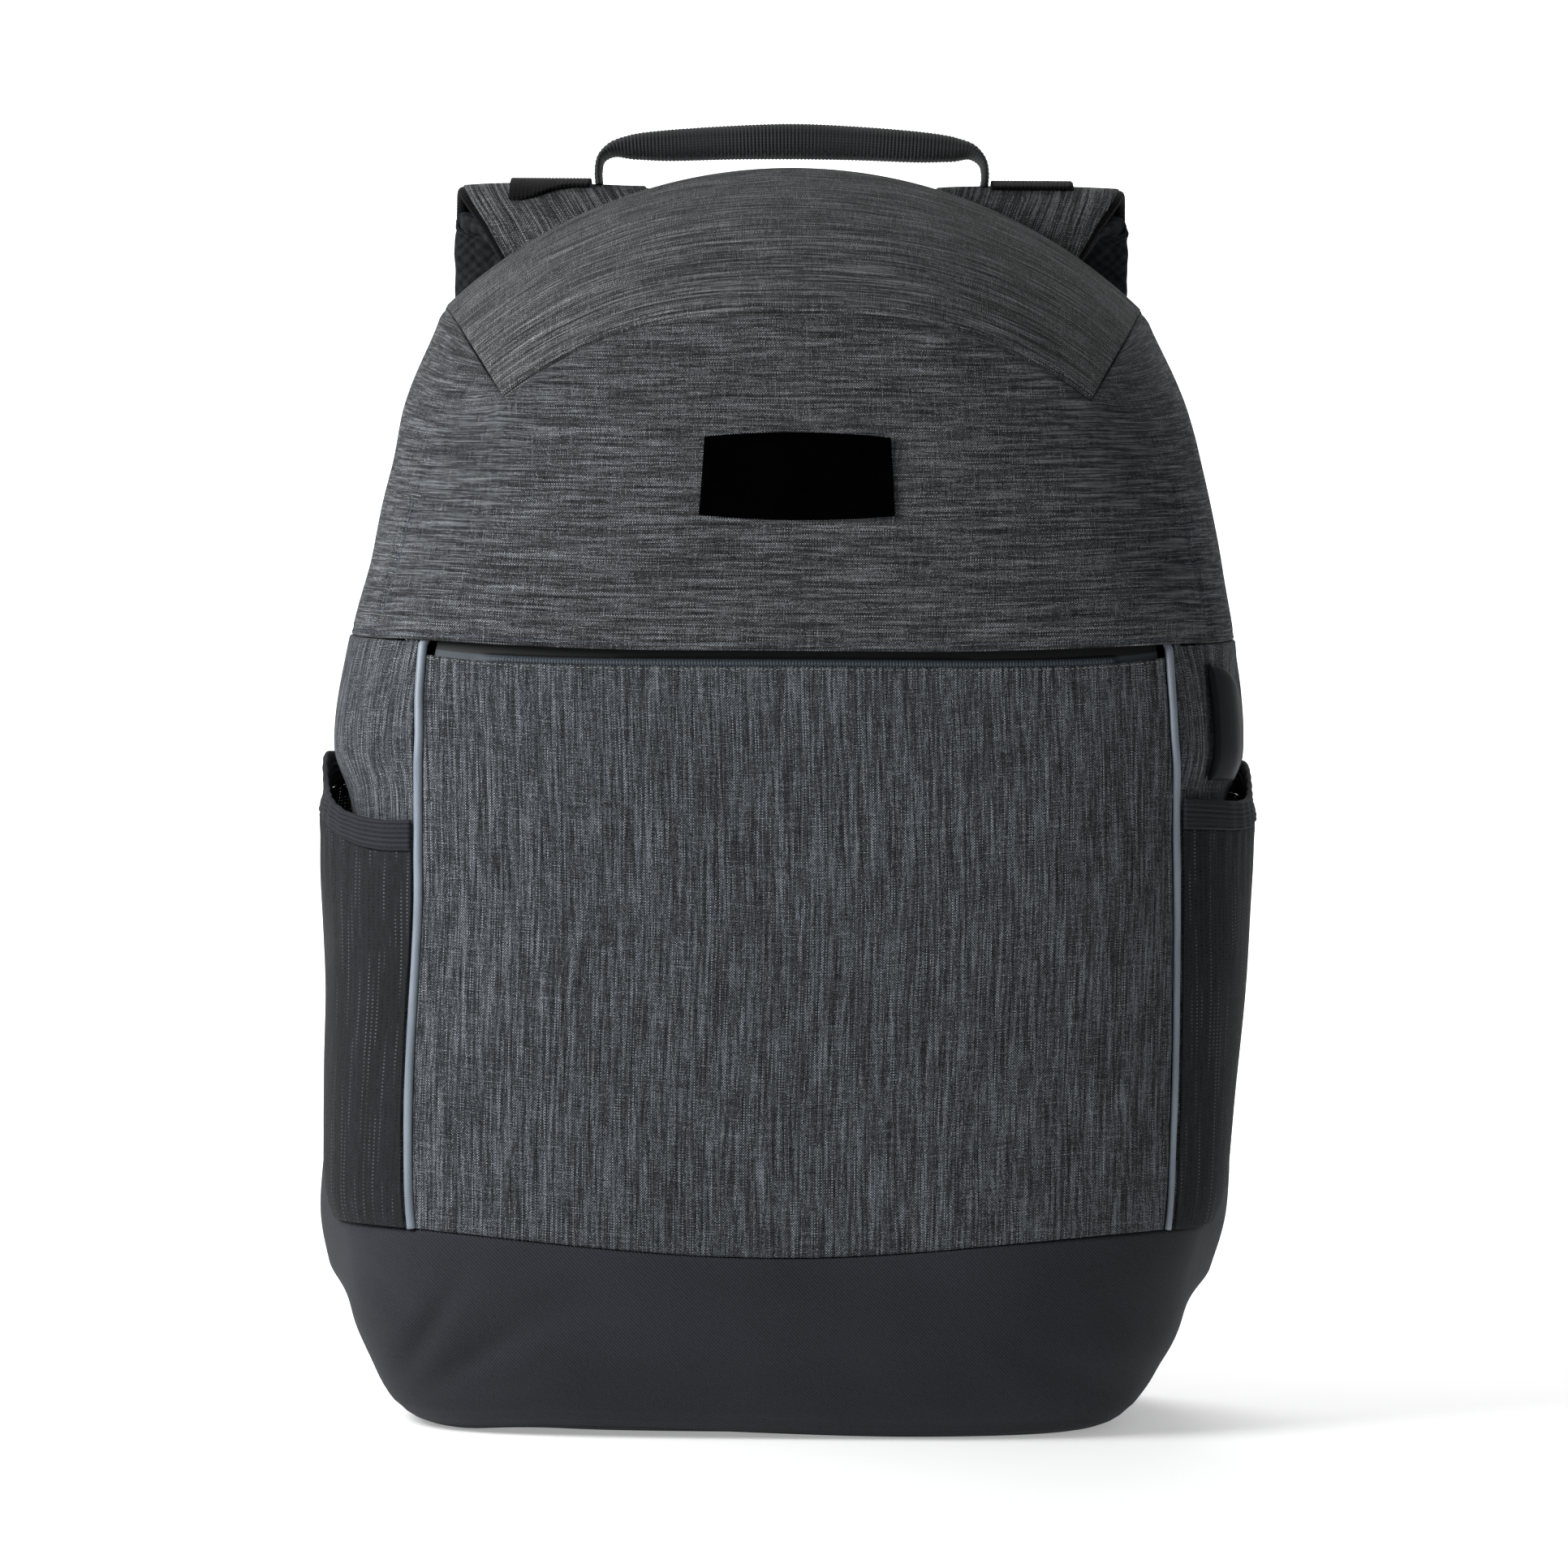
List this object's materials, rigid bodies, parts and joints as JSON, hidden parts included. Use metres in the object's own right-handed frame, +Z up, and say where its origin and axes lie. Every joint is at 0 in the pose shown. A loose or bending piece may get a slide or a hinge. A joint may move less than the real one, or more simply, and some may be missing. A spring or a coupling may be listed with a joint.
{
  "type": "anti-theft backpack",
  "caption": "Anti-theft day pack of grey heather cloth with a dark base, flat front pocket, mesh side pockets, padded shoulder straps and a carry handle; it stands on its base.",
  "frame": {"origin": "centre of the bounding box at floor level", "axes": "+Z up, -Y out of the bag's front, +X to the right of someone who looks at the front"},
  "size_m": [0.3248, 0.194, 0.4621],
  "materials": {
    "heather": "heather weave with slub, dark and light grey threads",
    "twill": "dense charcoal twill",
    "mesh": "fine black mesh",
    "webbing": "ribbed black tape and webbing",
    "grip": "charcoal ribbed webbing",
    "reflective": "grey reflective piping",
    "label": "plain black patch",
    "plastic": "satin moulded plastic"
  },
  "bodies": {
    "root": {"hood_panel": "heather", "top_gusset": "heather", "front_pocket_panel": "heather", "side_panel_left": "heather", "side_panel_right": "heather", "strap_face_left": "heather", "strap_face_right": "heather", "base_boot": "twill", "mesh_pocket_left": "mesh", "mesh_pocket_right": "mesh", "back_panel": "mesh", "strap_pad_left": "mesh", "strap_pad_right": "mesh", "pocket_zip": "webbing", "pocket_elastic_left": "webbing", "pocket_elastic_right": "webbing", "rear_binding": "webbing", "handle_tab_left": "webbing", "handle_tab_right": "webbing", "strap_webbing_left": "webbing", "strap_webbing_right": "webbing", "strap_loop_left": "webbing", "strap_loop_right": "webbing", "strap_anchor_left": "webbing", "strap_anchor_right": "webbing", "handle": "grip", "piping_left": "reflective", "piping_right": "reflective", "label_patch": "label", "usb_hood": "plastic", "strap_adjuster_left": "plastic", "strap_adjuster_right": "plastic"}
  },
  "joints": []
}
